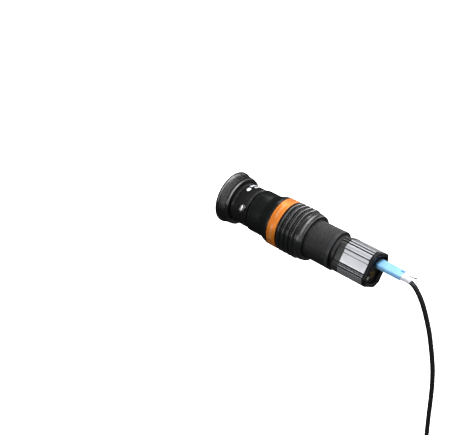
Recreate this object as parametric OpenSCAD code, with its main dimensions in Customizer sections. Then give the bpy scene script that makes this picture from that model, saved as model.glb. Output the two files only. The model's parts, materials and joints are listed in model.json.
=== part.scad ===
// Astronomy camera on its imaging train, lying along +X.
// The visual back screws to the telescope at x = 0, the Barlow slides into the visual back,
// the camera slides into the Barlow, and the USB lead hangs from the camera's rear end.
// Angles called phi turn about X, from +Z towards -Y.

/* [Coupling ring] */
// Wall radius of the internal telescope thread
thread_r = 25; // [24.8:0.05:25.2]
// Length of the internal telescope thread
thread_len = 8; // [7:0.5:8]
// Outer radius of the rear flange
ring_flange_r = 28.2; // [28:0.1:29]
// Outer radius of the gripping surface
ring_grip_r = 27; // [26.8:0.1:27.4]
// Length of the whole ring
ring_len = 14.6; // [14:0.1:16]

/* [Eyepiece tubes] */
// Outer radius of a 1.25 inch nose
nose_r = 15.875; // [15.85:0.005:15.9]
// Radial play between a nose and its holder
nose_play = 0.05; // [0.03:0.01:0.08]
// Outer radius of the visual back
back_r = 21.5; // [21:0.1:22]
// Where the visual back ends
back_end = 35; // [34:0.5:35.5]

/* [Barlow] */
// Outer radius of the smooth barrel
barlow_r = 22.7; // [22:0.1:23]
// Outer radius of the trim ring
trim_r = 26.1; // [26:0.1:26.5]
// Outer radius of the grip's ridges
grip_r = 26.4; // [26:0.1:26.6]
// Number of ridges on the grip
grip_ridges = 4; // [3:1:5]
// Outer radius of the holder's mouth
collar_r = 24; // [23.5:0.1:24.5]
// Where the holder ends
collar_end = 108; // [108:0.1:108.2]

/* [Camera] */
// Outer radius of the knurled adapter
adapter_r = 20.3; // [20:0.1:20.6]
// Distance from the axis to each flat side of the housing
flat_r = 17.5; // [17.4:0.1:17.8]
// Radius of the housing's rounded corners
corner_r = 20.6; // [20.4:0.1:20.8]
// Angle phi that the label's side faces
side_phi = 55; // [50:1:60]
// Width of the deep grooves between the fins
groove_w = 1; // [0.8:0.1:1.1]
// Depth of the deep grooves between the fins
groove_depth = 1.7; // [1:0.1:1.8]
// Where the silver housing starts
housing_start = 149; // [149:0.1:149.5]
// Where the silver housing ends
housing_end = 176.5; // [176:0.1:177]
// Where the rear cover ends
cover_end = 180; // [179.5:0.1:181]

/* [USB lead] */
// Width of the plug's moulded body
plug_w = 11.6; // [11:0.1:12]
// Height of the plug's moulded body
plug_h = 6; // [5.6:0.1:6.4]
// Diameter of the lead
cord_d = 4.8; // [4.4:0.1:5]
// Mean radius of the stored coil
coil_r = 27; // [26:0.5:28]

/* [Hidden] */
$fn = 96;

eps = 0.1;
bore_r = nose_r + nose_play;
fit_gap = 0.05;

// Clamp rings and thumbscrews
clamp_groove_r = 17.1;
clamp_ring_r = 17.05;
clamp_len = 4.8;
screw_thread_r = 2;
screw_spigot_r = 1.5;
screw_head_r = 4;
screw_head_h = 5.2;
back_screw_x = 30.5;
back_screw_phi = 62.5;
holder_screw_x = 103;
holder_screw_phi = 225;

// Barlow stations along X
barlow_start = 37;
flare_start = 52;
flare_end = 64.5;
trim_start = 66.4;
grip_start = 76.9;
grip_end = 99.4;
trim_seat_r = 25.2;
grip_seat_r = 23.5;
barlow_cavity_r = 19;
holder_stub_r = 18.95;
holder_start = 92;
recess_start = 106;
nose_stub_r = 14;
nose_tip = 12;
filter_r = 14;
filter_len = 5;
lens_r = 12.4;

// Camera stations along X
adapter_start = 106.1;
adapter_grip_end = 137.3;
neck_end = 141;
neck_r = 17.5;
c_thread_r = 12.7;
window_pocket_r = 12.6;
cavity_half = 13.7;
cavity_r = 17;
panel_start = 174.4;
panel_end = 176;
screw_circle = 15.6;
machine_screw_r = 1.5;
sensor_board_x = 152.5;
main_board_x = 162;
board_t = 1.6;
standoff_circle = 14;

// USB plug, its socket and what sits on the rear panel, as [y, z]
plug_at = [6.2, 3.8];
plug_start = 176.3;
plug_end = 204;
usb_w = 12.2;
usb_h = 1.8;
trigger_at = [-1.5, -5.6];
trigger_r = 3.4;
lamp_at = [-8.6, -6.2];

// The lead's route and the far plug
cord_route = [
  [212.4, 6, 1.2], [216.2, 6, -0.8], [219.6, 6, -4], [224.6, 6, -10.4], [229, 6, -18],
  [232.8, 6, -26.4], [236.4, 6, -35.4], [240.6, 6, -47], [244.4, 6, -60.4], [248.2, 6, -75],
  [251.4, 6, -90], [253.8, 6, -107], [255.6, 6, -126], [257, 6, -146], [258.6, 6, -166],
  [260, 6, -184], [259.6, 6, -196], [256.6, 6, -206], [251.4, 6, -213.6], [245, 6, -218.6]
];
coil_at = [260, 6, -242];
coil_row = 4.2;
tail_route = [[228.8, 6, -242], [228.8, 6, -252], [228.8, 6, -261]];
cord_sides = 8;
far_plug_at = [228.8, 6];
far_relief_top = -261;
far_body_top = -271;
far_body_bottom = -299;
far_shell_bottom = -317;

// A solid of revolution about X; each profile point is [radius, x]
module turned(profile) {
  rotate([0, 90, 0]) rotate_extrude() polygon(profile);
}

// A cylinder along X
module rod(r, x0, x1) {
  translate([x0, 0, 0]) rotate([0, 90, 0]) cylinder(r = r, h = x1 - x0);
}

// A tube along X
module pipe(r_out, r_in, x0, x1) {
  difference() {
    rod(r_out, x0, x1);
    rod(r_in, x0 - eps, x1 + eps);
  }
}

// An outline in the Y-Z plane, extruded along X
module along_x(x0, x1) {
  translate([x0, 0, 0]) rotate([90, 0, 90]) linear_extrude(x1 - x0) children();
}

// Places children with their +Z pointing out from the axis at angle phi
module radial(x, phi) {
  translate([x, 0, 0]) rotate([phi, 0, 0]) children();
}

// A rectangle with chamfered corners, centred
module chamfered_rect(w, h, c) {
  polygon([
    [-w / 2 + c, -h / 2], [w / 2 - c, -h / 2], [w / 2, -h / 2 + c], [w / 2, h / 2 - c],
    [w / 2 - c, h / 2], [-w / 2 + c, h / 2], [-w / 2, h / 2 - c], [-w / 2, -h / 2 + c]
  ]);
}

// A lens: bulge is how far each face's centre stands beyond its edge (negative is hollow)
function lens_arc(x_edge, bulge, r, order) =
  [for (k = order) let (t = k / 8) [r * t, x_edge + bulge * (1 - t * t)]];

module lens(x0, x1, bulge_front, bulge_rear, r) {
  front = lens_arc(x0, -bulge_front, r, [0:8]);
  rear = lens_arc(x1, bulge_rear, r, [8:-1:0]);
  turned(concat(front, rear));
}

/* ---- Coupling ring and visual back ---- */

module coupling_ring() {
  lip_start = 12.2;
  color("#2b2c2b")
  difference() {
    turned([
      [0, 0], [ring_flange_r - 0.4, 0], [ring_flange_r, 0.4], [ring_flange_r, 2],
      [ring_grip_r + 0.2, 3.4], [ring_grip_r, 3.8], [ring_grip_r - 0.8, 11.6],
      [25.3, ring_len], [0, ring_len]
    ]);
    rod(thread_r, -eps, thread_len);
    rod(thread_r + 0.5, thread_len, lip_start);
    rod(back_r + fit_gap, 0, ring_len + eps);
  }
}

module visual_back_body() {
  color("#2f302f")
  difference() {
    turned([
      [0, thread_len + 0.3], [thread_r - 0.6, thread_len + 0.3], [thread_r - 0.6, 11.9],
      [back_r, 11.9], [back_r, back_end - 0.8], [back_r - 0.8, back_end], [0, back_end]
    ]);
    rod(bore_r, 0, back_end + eps);
    rod(clamp_groove_r, back_screw_x - 2.5, back_screw_x + 2.5);
    radial(back_screw_x, back_screw_phi) cylinder(r = screw_thread_r, h = back_r + 1);
  }
}

// A split brass ring that the thumbscrew presses onto the nose
module clamp_ring(x_mid) {
  split_phi = 150;
  color("#b08d4c")
  difference() {
    pipe(clamp_ring_r, bore_r + 0.03, x_mid - clamp_len / 2, x_mid + clamp_len / 2);
    radial(x_mid, split_phi) translate([-clamp_len, -1.5, 10]) cube([2 * clamp_len, 3, 10]);
  }
}

module visual_back_clamp_ring() {
  clamp_ring(back_screw_x);
}

// Heights of a thumbscrew are distances from the train's axis
module screw_shank(x, phi, wall_r) {
  color("silver")
  radial(x, phi) {
    translate([0, 0, clamp_ring_r + 0.1])
      cylinder(r = screw_thread_r - fit_gap, h = wall_r + 0.9 - clamp_ring_r);
    translate([0, 0, wall_r]) cylinder(r = screw_spigot_r, h = 4.2);
  }
}

module screw_head(x, phi, wall_r) {
  base = wall_r + 1.1;
  flutes = 20;
  color("silver")
  radial(x, phi)
  difference() {
    translate([0, 0, base]) rotate_extrude() polygon([
      [0, 0], [screw_head_r - 0.5, 0], [screw_head_r, 0.4], [screw_head_r, screw_head_h - 1.8],
      [screw_head_r - 0.5, screw_head_h - 0.9], [screw_head_r - 1.5, screw_head_h - 0.3],
      [0, screw_head_h]
    ]);
    translate([0, 0, base - eps]) cylinder(r = screw_spigot_r + fit_gap, h = 3.4);
    for (k = [0:flutes - 1])
      rotate([0, 0, k * 360 / flutes]) translate([screw_head_r + 0.15, 0, base - eps])
        cylinder(r = 0.4, h = screw_head_h);
  }
}

module visual_back_screw_shank() {
  screw_shank(back_screw_x, back_screw_phi, back_r);
}

module visual_back_screw_head() {
  screw_head(back_screw_x, back_screw_phi, back_r);
}

/* ---- Barlow lens ---- */

// A 1.25 inch nose with its undercut, filter thread and rear threaded stub
module nose_barrel(tip, shoulder, stub_end, undercut, clear_r) {
  difference() {
    turned([
      [0, tip], [nose_r - 0.6, tip], [nose_r, tip + 0.6], [nose_r, undercut[0]],
      [nose_r - 0.6, undercut[0] + 0.6], [nose_r - 0.6, undercut[1] - 0.6],
      [nose_r, undercut[1]], [nose_r, shoulder], [nose_stub_r, shoulder],
      [nose_stub_r, stub_end], [0, stub_end]
    ]);
    rod(filter_r, tip - eps, tip + filter_len);
    rod(clear_r, tip, stub_end + eps);
  }
}

module barlow_nose_barrel() {
  color("#8f9193") nose_barrel(nose_tip, barlow_start - 0.1, 43, [26, 34], 13);
}

cell_x = nose_tip + filter_len + 0.2;
module barlow_lens_cell() {
  color("#1d1d1d")
  difference() {
    rod(12.95, cell_x, cell_x + 10);
    rod(11.6, cell_x - eps, cell_x + 10 + eps);
    rod(lens_r + 0.05, cell_x + 0.8, cell_x + 10 + eps);
  }
}

module barlow_lens_front() {
  color("#9fb8c4", 0.5) lens(cell_x + 0.85, cell_x + 3.85, 0, -1, lens_r);
}

module barlow_lens_spacer() {
  color("#1d1d1d") pipe(lens_r, 11.4, cell_x + 3.9, cell_x + 5.2);
}

module barlow_lens_rear() {
  color("#9fb8c4", 0.5) lens(cell_x + 5.25, cell_x + 8.25, -1, 0.4, lens_r);
}

module barlow_lens_retainer() {
  color("#1d1d1d") pipe(lens_r, 11.2, cell_x + 8.4, cell_x + 9.8);
}

module barlow_body() {
  flare = [for (k = [0:8]) let (t = k / 8) [
    barlow_r + (trim_r - 0.1 - barlow_r) * (1 - cos(180 * t)) / 2,
    flare_start + (flare_end - flare_start) * t
  ]];
  color("#2b2c2c")
  difference() {
    turned(concat(
      [[0, barlow_start], [barlow_r - 0.6, barlow_start], [barlow_r, barlow_start + 0.6]],
      flare,
      [[trim_r - 0.1, trim_start], [trim_seat_r, trim_start], [trim_seat_r, grip_start],
       [grip_seat_r, grip_start], [grip_seat_r, grip_end], [0, grip_end]]
    ));
    rod(nose_stub_r + fit_gap, barlow_start - eps, 43.2);
    rod(barlow_cavity_r, 43.2, grip_end + eps);
  }
}

module orange_trim_ring() {
  color("#e8923c")
  difference() {
    turned([
      [0, trim_start + 0.02], [trim_r - 0.3, trim_start + 0.02], [trim_r, trim_start + 0.4],
      [trim_r, grip_start - 0.4], [trim_r - 0.3, grip_start - 0.02], [0, grip_start - 0.02]
    ]);
    rod(trim_seat_r + fit_gap, trim_start - eps, grip_start + eps);
  }
}

module rubber_grip() {
  x0 = grip_start + 0.3;
  pitch = (grip_end - 0.3 - x0) / grip_ridges;
  valley_r = grip_r - 1.3;
  steps = 6;
  wave = [for (n = [0:grip_ridges - 1], k = [0:steps - 1]) let (t = k / steps) [
    valley_r + (grip_r - valley_r) * sin(180 * t), x0 + (n + t) * pitch
  ]];
  color("#262627")
  difference() {
    turned(concat(
      [[0, grip_start + 0.02], [valley_r, grip_start + 0.02]],
      wave,
      [[valley_r, grip_end - 0.3], [valley_r, grip_end - 0.02], [0, grip_end - 0.02]]
    ));
    rod(grip_seat_r + fit_gap, grip_start - eps, grip_end + eps);
  }
}

module holder_collar() {
  color("#2d2e2e")
  difference() {
    turned([
      [0, holder_start], [holder_stub_r, holder_start], [holder_stub_r, grip_end + 0.02],
      [24.7, grip_end + 0.02], [25.2, grip_end + 0.6], [25, grip_end + 3.4],
      [collar_r + 0.3, collar_end - 3], [collar_r, collar_end - 0.8],
      [collar_r - 0.7, collar_end], [0, collar_end]
    ]);
    rod(bore_r, holder_start - eps, recess_start + eps);
    rod(adapter_r + 0.6, recess_start, collar_end + eps);
    rod(clamp_groove_r, holder_screw_x - 2.5, holder_screw_x + 2.5);
    radial(holder_screw_x, holder_screw_phi) cylinder(r = screw_thread_r, h = 27);
  }
}

module holder_clamp_ring() {
  clamp_ring(holder_screw_x);
}

holder_wall_r = 25;
module holder_screw_shank() {
  screw_shank(holder_screw_x, holder_screw_phi, holder_wall_r);
}

module holder_screw_head() {
  screw_head(holder_screw_x, holder_screw_phi, holder_wall_r);
}

/* ---- Camera ---- */

module camera_nose_barrel() {
  color("#303131") nose_barrel(82, adapter_start - 0.2, 112, [98, 105], 12.6);
}

module knurled_adapter() {
  color("#5a5c5e")
  difference() {
    turned([
      [0, adapter_start], [adapter_r - 0.5, adapter_start], [adapter_r, adapter_start + 0.5],
      [adapter_r, adapter_grip_end - 0.6], [adapter_r - 0.6, adapter_grip_end],
      [neck_r, adapter_grip_end], [neck_r, neck_end], [c_thread_r, neck_end],
      [c_thread_r, 144.9], [0, 144.9]
    ]);
    rod(nose_stub_r + fit_gap, adapter_start - eps, 112.2);
    rod(12.6, 112, 131);
    rod(11.2, 130, 145);
  }
}

// The housing's outline: a turned square with its corners rounded
module housing_outline(half, r) {
  intersection() {
    rotate(side_phi) square(2 * half, center = true);
    circle(r = r);
  }
}

// How far the outline stands from the axis at angle phi
function outline_r(phi) = min(corner_r, flat_r / cos((phi - side_phi + 405) % 90 - 45));

// A groove along the housing at angle phi
module groove(phi, w, depth) {
  rotate(phi) translate([-w / 2, outline_r(phi) - depth]) square([w, depth + 2]);
}

// The outline with its cooling fins; each half repeats after a half turn
module housing_section() {
  deep_grooves = [4, 13, 75, 85];
  fine_grooves = [-20, -15, -10, -5, 30, 80];
  hairline = 42.5;
  difference() {
    housing_outline(flat_r, corner_r);
    for (half = [0, 180]) {
      for (phi = deep_grooves) groove(half + phi, groove_w, groove_depth);
      for (phi = fine_grooves) groove(half + phi, 0.7 * groove_w, 0.5 * groove_depth);
      groove(half + hairline, 0.4, 0.3);
    }
  }
}

// Places children at each side's screw, their +Z along dir
module at_housing_screws(head_x, dir) {
  for (quarter = [0:90:270])
    rotate([side_phi + quarter, 0, 0]) translate([head_x, 0, screw_circle])
      rotate([0, 90 * dir, 0]) children();
}

// Small machine screws around the housing, their heads at head_x, pointing along dir
module housing_screws(head_x, dir) {
  at_housing_screws(head_x, dir) {
    difference() {
      cylinder(r = machine_screw_r, h = 1.2);
      translate([0, 0, -eps]) cylinder(r = 0.7, h = 0.8, $fn = 6);
    }
    translate([0, 0, 1.2]) cylinder(r = 1, h = 5.3);
  }
}

// The holes that those screws need: a counterbore, and a hole right through the plate
module screw_holes(head_x, dir, plate_r) {
  at_housing_screws(head_x, dir) {
    translate([0, 0, -1]) cylinder(r = machine_screw_r + 0.1, h = 2.25);
    cylinder(r = plate_r, h = 9);
  }
}

front_screw_x = 142;
rear_screw_x = cover_end - 0.3;

module front_housing() {
  color("#4a4c4e")
  difference() {
    intersection() {
      along_x(neck_end, housing_start - 0.02) housing_section();
      turned([[0, neck_end], [19.2, neck_end], [21, neck_end + 1.8], [21, 150], [0, 150]]);
    }
    rod(c_thread_r + fit_gap, neck_end - eps, 145);
    rod(10.6, neck_end, 150);
    rod(window_pocket_r, 146.2, 150);
    screw_holes(front_screw_x, 1, 1.05);
  }
}

module front_housing_screws() {
  color("#3a3a3a") housing_screws(front_screw_x, 1);
}

module window_seal() {
  color("#161616") pipe(12.4, 10.8, 146.25, 147);
}

module sensor_window() {
  color("#b9c9c2", 0.45) rod(12.3, 147.02, 148.1);
}

module window_retainer() {
  color("#202020") pipe(12.55, 10.8, 148.12, 148.95);
}

module finned_housing() {
  color("#d4d6d8")
  difference() {
    along_x(housing_start, housing_end) housing_section();
    along_x(housing_start - eps, housing_end + eps) housing_outline(cavity_half, cavity_r);
    screw_holes(front_screw_x, 1, 1.02);
    screw_holes(rear_screw_x, -1, 1.02);
    label_pocket();
  }
}

label_low = -5.2;
label_w = 8;

// The shallow pocket for the label
module label_pocket() {
  rotate([side_phi, 0, 0]) translate([housing_start + 1.5, label_low - 0.1, flat_r - 0.35])
    cube([24.5, label_w + 0.2, 1]);
}

module label_plate() {
  color("#e4e6e8")
  rotate([side_phi, 0, 0]) translate([housing_start + 1.6, label_low, flat_r - 0.34])
    cube([24.3, label_w, 0.3]);
}

module rear_cover() {
  color("#1c1d1d")
  difference() {
    intersection() {
      along_x(housing_end + 0.02, cover_end) housing_outline(flat_r, corner_r - 0.2);
      turned([[0, 176], [21, 176], [21, cover_end - 1], [20, cover_end], [0, cover_end]]);
    }
    along_x(housing_end - eps, cover_end + eps) housing_outline(cavity_half, cavity_r);
    screw_holes(rear_screw_x, -1, 1.1);
  }
}

module rear_cover_screws() {
  color("#3a3a3a") housing_screws(rear_screw_x, -1);
}

module rear_panel() {
  color("#2a2724")
  difference() {
    along_x(panel_start, panel_end) housing_outline(cavity_half - 0.1, cavity_r - 0.1);
    translate([panel_start - eps, plug_at[0] - 6.5, plug_at[1] - 1.35]) cube([2, 13, 2.7]);
    translate([0, trigger_at[0], trigger_at[1]]) rod(trigger_r + 0.05, panel_start - eps, 177);
    translate([0, lamp_at[0], lamp_at[1]]) rod(1.55, panel_start - eps, 177);
  }
}

// Tubes or pillars at the four corners of the circuit boards
module pillars(x0, x1, r) {
  for (corner = [45:90:315])
    rotate([side_phi + corner, 0, 0]) translate([0, 0, standoff_circle]) rod(r, x0, x1);
}

module board(x0) {
  difference() {
    along_x(x0, x0 + board_t) housing_outline(12.6, 16.2);
    pillars(x0 - eps, x0 + board_t + eps, 1);
  }
}

module sensor_standoffs() {
  color("#b8b8b0") pillars(housing_start + 0.02, sensor_board_x - 0.02, 1.8);
}

module sensor_board() {
  color("#1f5a35") board(sensor_board_x);
}

module image_sensor() {
  color("#2a2a30")
  translate([150.6, 0, 0]) rotate([side_phi, 0, 0]) translate([0, -6, -6]) cube([1.88, 12, 12]);
}

module sensor_glass() {
  color("#8fb3b8", 0.5)
  translate([149.9, 0, 0]) rotate([side_phi, 0, 0]) translate([0, -5, -5]) cube([0.68, 10, 10]);
}

module board_standoffs() {
  color("#c9b26b") pillars(sensor_board_x + board_t + 0.02, main_board_x - 0.02, 1.8);
}

module board_connector() {
  color("#d8d2c0")
  translate([sensor_board_x + board_t + 0.02, -8, -9])
    cube([main_board_x - sensor_board_x - board_t - 0.04, 16, 3.4]);
}

module main_board() {
  color("#1f5a35") board(main_board_x);
}

module usb_socket() {
  wall = 0.3;
  play = 0.1;
  depth = 8;
  w = usb_w + 2 * (wall + play);
  h = usb_h + 2 * (wall + play);
  x0 = main_board_x + board_t + 0.02;
  color("silver")
  difference() {
    translate([x0, plug_at[0] - w / 2, plug_at[1] - h / 2]) cube([panel_end - x0, w, h]);
    translate([panel_end - depth, plug_at[0] - w / 2 + wall, plug_at[1] - h / 2 + wall])
      cube([depth + eps, w - 2 * wall, h - 2 * wall]);
  }
}

module trigger_socket() {
  color("#141414")
  translate([0, trigger_at[0], trigger_at[1]])
  difference() {
    rod(trigger_r - 0.9, 168, panel_end);
    rod(1.3, 171, panel_end + eps);
  }
}

module trigger_socket_ring() {
  color("#b48a4a")
  translate([0, trigger_at[0], trigger_at[1]]) pipe(trigger_r, trigger_r - 0.85, panel_start, 176.9);
}

module status_lamp() {
  color("#dfe6dc")
  translate([0, lamp_at[0], lamp_at[1]]) {
    rod(1.5, panel_start - 2, panel_end);
    rod(1.9, panel_end, panel_end + 0.5);
  }
}

/* ---- USB lead ---- */

module usb_plug_shell() {
  color("silver")
  translate([plug_start - 6.8, plug_at[0] - usb_w / 2, plug_at[1] - usb_h / 2])
    cube([6.78, usb_w, usb_h]);
}

module usb_plug_body() {
  shoulder = 2.4;
  color("#b5d6f5")
  translate([0, plug_at[0], plug_at[1]]) {
    hull() {
      along_x(plug_start, plug_start + 0.1) chamfered_rect(plug_w - 3, plug_h - 1.6, 1);
      along_x(plug_start + shoulder, plug_start + shoulder + 0.1)
        chamfered_rect(plug_w, plug_h, 1);
    }
    along_x(plug_start + shoulder, plug_end) chamfered_rect(plug_w, plug_h, 1);
  }
}

module strain_relief() {
  start = cord_route[1] - cord_route[0];
  exit_slope = atan2(-start[2], start[0]);
  color("#eef0f2")
  hull() {
    translate([plug_end + 0.02, plug_at[0], 3.4]) along_x(0, 0.4) chamfered_rect(8.4, 5.2, 1.2);
    translate(cord_route[0]) rotate([0, exit_slope, 0]) along_x(-0.42, -0.02)
      circle(d = 6.2, $fn = 24);
  }
}

// A small cable tie round the relief, its tail pointing along the lead with a curled end
module relief_tie() {
  color("#e9eaec") {
    translate([206, 11.2, 1.2]) cube([9.4, 0.9, 2.2]);
    translate([214.6, 12.1, 1.2]) cube([0.8, 1.6, 2.2]);
    translate([206, 10.6, 0.9]) cube([3, 0.6, 2.8]);
  }
}

// A round tube swept along a route that lies in one plane of constant y
module swept_tube(route, r) {
  last = len(route) - 1;
  dirs = [for (i = [0:last])
    let (d = route[min(i + 1, last)] - route[max(i - 1, 0)]) d / norm(d)];
  points = [for (i = [0:last], k = [0:cord_sides - 1])
    let (a = 360 * k / cord_sides, side = cross([0, 1, 0], dirs[i]))
    route[i] + r * (cos(a) * side + sin(a) * [0, 1, 0])];
  walls = [for (i = [0:last - 1], k = [0:cord_sides - 1])
    let (a = i * cord_sides + k, b = i * cord_sides + (k + 1) % cord_sides)
    [a, b, b + cord_sides, a + cord_sides]];
  start_cap = [for (k = [cord_sides - 1:-1:0]) k];
  end_cap = [for (k = [0:cord_sides - 1]) last * cord_sides + k];
  polyhedron(points, concat(walls, [start_cap, end_cap]));
}

module cord_lead() {
  color("#1b1b1c") swept_tube(cord_route, cord_d / 2);
}

// The outer shape of the stored coil: three rows of turns, the middle row the widest
module cord_coil() {
  half = cord_d / 2;
  inner = coil_r - coil_row - half;
  outer = coil_r + coil_row + half;
  color("#1b1b1c")
  translate(coil_at) rotate([90, 0, 0]) rotate_extrude() polygon([
    [inner, -1.4 * cord_d], [inner + half, -1.7 * cord_d], [coil_r, -2 * cord_d],
    [outer - half, -1.7 * cord_d], [outer, -1.4 * cord_d],
    [outer, 1.4 * cord_d], [outer - half, 1.7 * cord_d], [coil_r, 2 * cord_d],
    [inner + half, 1.7 * cord_d], [inner, 1.4 * cord_d]
  ]);
}

module coil_tie() {
  strap_w = 9;
  reach = coil_row + cord_d / 2 + 0.5;
  half_y = 2 * cord_d + 0.4;
  strap_t = 1;
  color("#101010")
  translate(coil_at + [coil_r, 0, 0])
  difference() {
    cube([2 * (reach + strap_t), 2 * (half_y + strap_t), strap_w], center = true);
    cube([2 * reach, 2 * half_y, strap_w + 1], center = true);
  }
}

module cord_tail() {
  color("#1b1b1c") swept_tube(tail_route, cord_d / 2);
}

// The far plug hangs straight down, its broad faces along Y
module along_z(z0, z1) {
  translate([far_plug_at[0], far_plug_at[1], z0]) linear_extrude(z1 - z0) children();
}

module usb_a_relief() {
  color("#1b1b1c")
  translate([far_plug_at[0], far_plug_at[1], far_body_top + 0.02])
    cylinder(r1 = 3.6, r2 = 2.9, h = far_relief_top - far_body_top - 0.04);
}

module usb_a_body() {
  color("#1b1b1c") along_z(far_body_bottom, far_body_top) chamfered_rect(8, 16, 1.4);
}

module usb_a_shell() {
  color("silver")
  difference() {
    along_z(far_shell_bottom, far_body_bottom - 0.02) square([4.5, 12], center = true);
    along_z(far_shell_bottom - eps, far_body_bottom - 2) square([3.9, 11.4], center = true);
  }
}

module usb_a_tongue() {
  color("#2a63c8")
  translate([far_plug_at[0] + 0.05, far_plug_at[1] - 5.6, far_shell_bottom + 0.6])
    cube([1.8, 11.2, far_body_bottom - 2.1 - far_shell_bottom - 0.6]);
}

coupling_ring();
visual_back_body();
visual_back_clamp_ring();
visual_back_screw_shank();
visual_back_screw_head();
barlow_nose_barrel();
barlow_lens_cell();
barlow_lens_front();
barlow_lens_spacer();
barlow_lens_rear();
barlow_lens_retainer();
barlow_body();
orange_trim_ring();
rubber_grip();
holder_collar();
holder_clamp_ring();
holder_screw_shank();
holder_screw_head();
camera_nose_barrel();
knurled_adapter();
front_housing();
window_seal();
sensor_window();
window_retainer();
front_housing_screws();
finned_housing();
label_plate();
rear_cover();
rear_panel();
rear_cover_screws();
sensor_standoffs();
sensor_board();
image_sensor();
sensor_glass();
board_standoffs();
board_connector();
main_board();
usb_socket();
trigger_socket();
trigger_socket_ring();
status_lamp();
usb_plug_shell();
usb_plug_body();
strain_relief();
relief_tie();
cord_lead();
cord_coil();
coil_tie();
cord_tail();
usb_a_relief();
usb_a_body();
usb_a_shell();
usb_a_tongue();
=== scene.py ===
"""Looks for an astronomy camera in its Barlow lens and visual back, with a USB lead.

The optical axis is +X, up is +Z, and angles called phi turn about X from +Z towards -Y.
Profiles and sizes are in millimetres; every mesh is scaled to metres as it is made.
"""

import json
import math

import bmesh
import bpy
from mathutils import Matrix, Vector


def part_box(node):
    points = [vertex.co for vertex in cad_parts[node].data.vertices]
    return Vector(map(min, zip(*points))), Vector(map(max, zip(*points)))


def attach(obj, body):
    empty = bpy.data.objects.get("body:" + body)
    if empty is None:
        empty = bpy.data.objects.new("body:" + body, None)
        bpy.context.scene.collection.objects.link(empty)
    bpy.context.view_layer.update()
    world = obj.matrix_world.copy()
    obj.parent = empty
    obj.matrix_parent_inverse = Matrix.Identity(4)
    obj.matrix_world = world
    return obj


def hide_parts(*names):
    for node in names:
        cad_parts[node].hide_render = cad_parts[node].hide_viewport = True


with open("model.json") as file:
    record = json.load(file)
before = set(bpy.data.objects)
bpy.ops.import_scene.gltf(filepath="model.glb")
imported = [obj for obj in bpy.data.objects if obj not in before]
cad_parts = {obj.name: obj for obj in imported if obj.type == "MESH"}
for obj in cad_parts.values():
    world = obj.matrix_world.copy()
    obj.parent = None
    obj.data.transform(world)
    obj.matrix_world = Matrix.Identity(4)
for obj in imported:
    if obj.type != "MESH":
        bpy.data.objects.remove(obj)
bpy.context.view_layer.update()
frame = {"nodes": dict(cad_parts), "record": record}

MM = 0.001
TAU = 2 * math.pi


# ---------------------------------------------------------------- camera


def make_camera():
    """The photograph's viewpoint: from the right, the front and above."""
    azimuth, elevation = math.radians(41.58), math.radians(37.14)
    back = Vector((
        math.sin(azimuth) * math.cos(elevation),
        -math.cos(azimuth) * math.cos(elevation),
        math.sin(elevation),
    ))
    right = Vector((math.cos(azimuth), math.sin(azimuth), 0))
    pose = Matrix((right, back.cross(right), back)).transposed().to_4x4()
    pose.translation = Vector((0.4553, -0.5149, 0.4928))
    data = bpy.data.cameras.new("camera")
    data.sensor_width = 36
    data.lens = 62.07
    camera = bpy.data.objects.new("camera", data)
    camera.matrix_world = pose
    bpy.context.scene.collection.objects.link(camera)
    bpy.context.scene.camera = camera


make_camera()


# ---------------------------------------------------------------- mesh helpers


def mesh_object(name, verts, faces, smooth_angle=35):
    """A mesh object from points in millimetres, smooth except at edges sharper than the angle."""
    mesh = bpy.data.meshes.new(name)
    mesh.from_pydata([Vector(v) * MM for v in verts], [], faces)
    tidy = bmesh.new()
    tidy.from_mesh(mesh)
    bmesh.ops.remove_doubles(tidy, verts=tidy.verts, dist=1e-7)
    bmesh.ops.recalc_face_normals(tidy, faces=tidy.faces)
    tidy.to_mesh(mesh)
    tidy.free()
    mesh.shade_smooth()
    mesh.set_sharp_from_angle(angle=math.radians(smooth_angle))
    piece = bpy.data.objects.new(name, mesh)
    bpy.context.scene.collection.objects.link(piece)
    return piece


def rounded(profile, radius, steps=3, closed=True):
    """The same outline with each corner turned into a short arc."""
    points = [Vector(p) for p in profile]
    count = len(points)
    result = []
    for i, corner in enumerate(points):
        before, after = points[i - 1], points[(i + 1) % count]
        to_before, to_after = before - corner, after - corner
        ends = not closed and i in (0, count - 1)
        if ends or to_before.length < 1e-6 or to_after.length < 1e-6:
            result.append(tuple(corner))
            continue
        if abs(to_before.normalized().dot(to_after.normalized())) > 0.985:
            result.append(tuple(corner))
            continue
        reach = min(radius, 0.45 * to_before.length, 0.45 * to_after.length)
        start = corner + to_before.normalized() * reach
        end = corner + to_after.normalized() * reach
        for k in range(steps + 1):
            t = k / steps
            point = start * (1 - t) ** 2 + corner * 2 * t * (1 - t) + end * t**2
            result.append(tuple(point))
    return result


def lathe(name, profile, segments=128, edge=0.25, displace=None, turned_by=None):
    """A closed ring turned about X; each profile point is (x, radius).

    displace(x, radius, turn) gives a new radius, with turn from 0 to 1 round the axis.
    turned_by is a matrix that stands the ring somewhere else."""
    outline = rounded(profile, edge)
    verts, faces = [], []
    for k in range(segments):
        angle = TAU * k / segments
        for x, radius in outline:
            if displace:
                radius = displace(x, radius, k / segments)
            verts.append(Vector((x, -radius * math.sin(angle), radius * math.cos(angle))))
    if turned_by:
        verts = [turned_by @ v for v in verts]
    count = len(outline)
    for k in range(segments):
        for i in range(count):
            a, b = k * count + i, k * count + (i + 1) % count
            shift = ((k + 1) % segments) * count - k * count
            faces.append((a, b, b + shift, a + shift))
    return mesh_object(name, verts, faces)


def spaced(x0, x1, step):
    """Values from x0 to x1, about a step apart, without the two ends."""
    count = max(2, round((x1 - x0) / step))
    return [x0 + (x1 - x0) * k / count for k in range(1, count)]


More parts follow.
